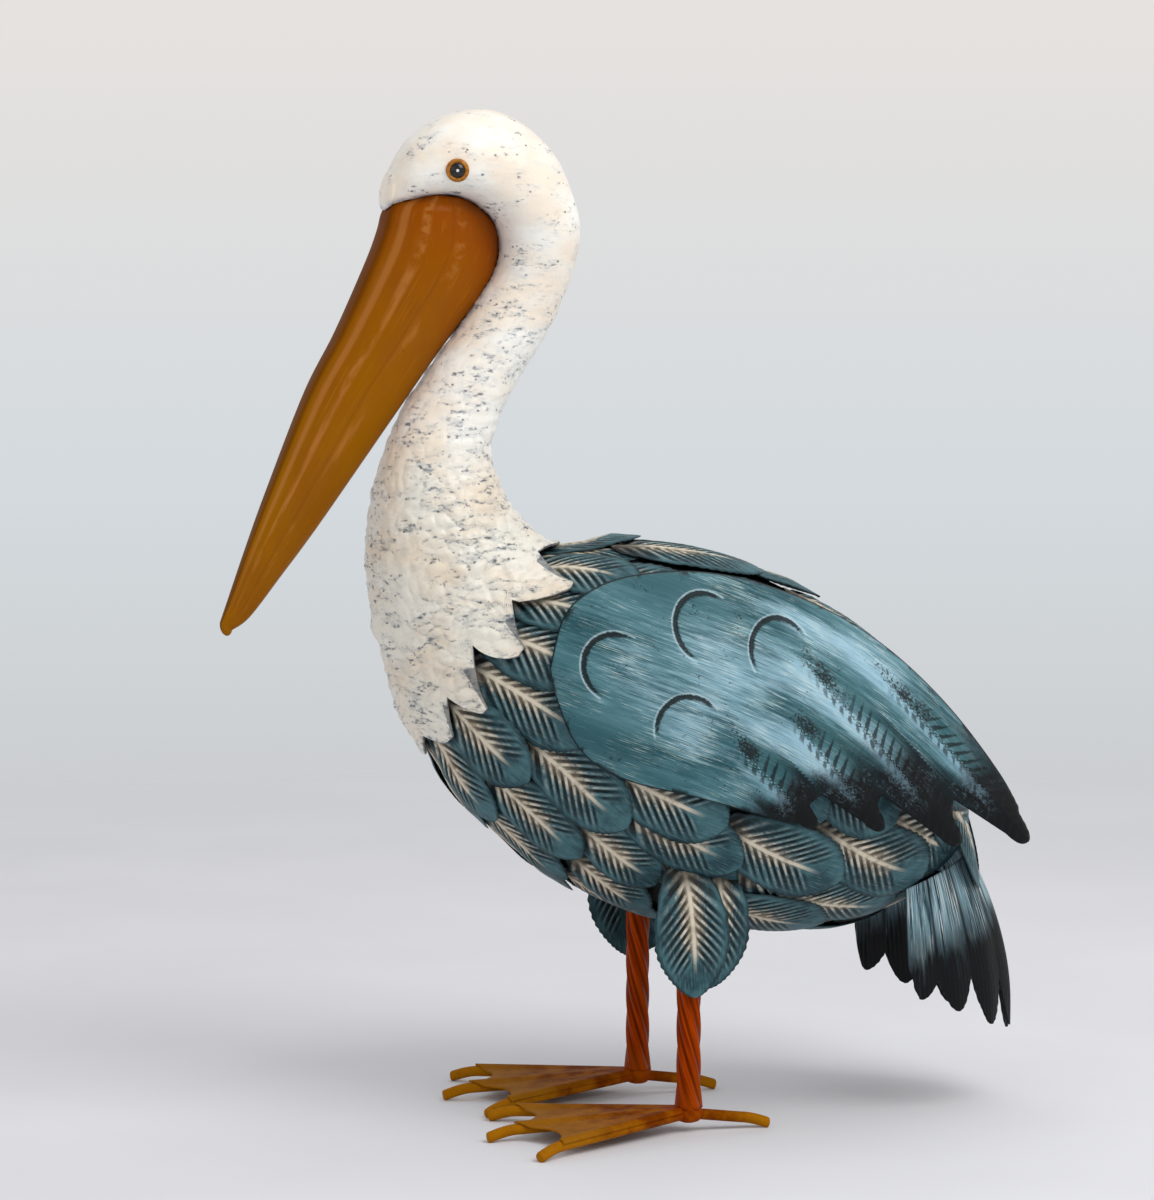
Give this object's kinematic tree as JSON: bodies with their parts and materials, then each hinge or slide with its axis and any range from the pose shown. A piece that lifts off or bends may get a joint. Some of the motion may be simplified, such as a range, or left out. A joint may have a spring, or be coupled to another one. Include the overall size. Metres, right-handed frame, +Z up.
{
  "type": "pelican yard statue",
  "caption": "Standing pelican of painted sheet metal: long hanging bill, hammered white neck, body clad with stamped feathers, fan tail and webbed rod feet.",
  "frame": {"origin": "middle of the bounding box in plan, on the ground under the toes", "axes": "+X towards the tail, so the bird faces -X; +Y to the bird's right side; +Z up"},
  "size_m": [0.4491, 0.2328, 0.5546],
  "materials": {
    "body": "dark satin enamel",
    "neck": "hammered white enamel, satin gloss",
    "bill": "glossy ochre to burnt orange enamel with a brown culmen",
    "eye": "amber ring with a glossy black bead",
    "wing": "teal enamel, dry-brushed with sky blue and fading to black at the tips",
    "feather": "stamped barbs, dark in the recesses and brushed with cream and slate teal",
    "tail": "teal and white streaks fading to black at the tips",
    "leg": "burnt orange enamel",
    "toes": "ochre enamel",
    "web": "ochre and orange enamel with streaks"
  },
  "bodies": {
    "root": {"back_centre_feather": "feather", "belly_centre_feather": "feather", "belly_rear_centre_feather": "feather", "bill": "bill", "body": "body", "breast_centre_feather": "feather", "left_back_rear_feather": "feather", "left_back_side_feather": "feather", "left_belly_middle_feather": "feather", "left_belly_rear_feather": "feather", "left_breast_lower_feather": "feather", "left_breast_upper_feather": "feather", "left_collar_back_feather": "feather", "left_collar_belly_feather": "feather", "left_collar_lower_feather": "feather", "left_collar_middle_feather": "feather", "left_collar_upper_feather": "feather", "left_eye": "eye", "left_flank_inner_feather": "feather", "left_flank_lower_feather": "feather", "left_flank_middle_feather": "feather", "left_flank_upper_feather": "feather", "left_leg": "leg", "left_loin_feather": "feather", "left_rump_flank_feather": "feather", "left_rump_side_feather": "feather", "left_thigh_outer_feather": "feather", "left_thigh_rear_feather": "feather", "left_toes": "toes", "left_web": "web", "left_wing": "wing", "nape_feather": "feather", "neck_and_head": "neck", "right_back_rear_feather": "feather", "right_back_side_feather": "feather", "right_belly_middle_feather": "feather", "right_belly_rear_feather": "feather", "right_breast_lower_feather": "feather", "right_breast_upper_feather": "feather", "right_collar_back_feather": "feather", "right_collar_belly_feather": "feather", "right_collar_lower_feather": "feather", "right_collar_middle_feather": "feather", "right_collar_upper_feather": "feather", "right_eye": "eye", "right_flank_inner_feather": "feather", "right_flank_lower_feather": "feather", "right_flank_middle_feather": "feather", "right_flank_upper_feather": "feather", "right_leg": "leg", "right_loin_feather": "feather", "right_rump_flank_feather": "feather", "right_rump_side_feather": "feather", "right_thigh_outer_feather": "feather", "right_thigh_rear_feather": "feather", "right_toes": "toes", "right_web": "web", "right_wing": "wing", "rump_back_feather": "feather", "tail": "tail"}
  },
  "joints": []
}
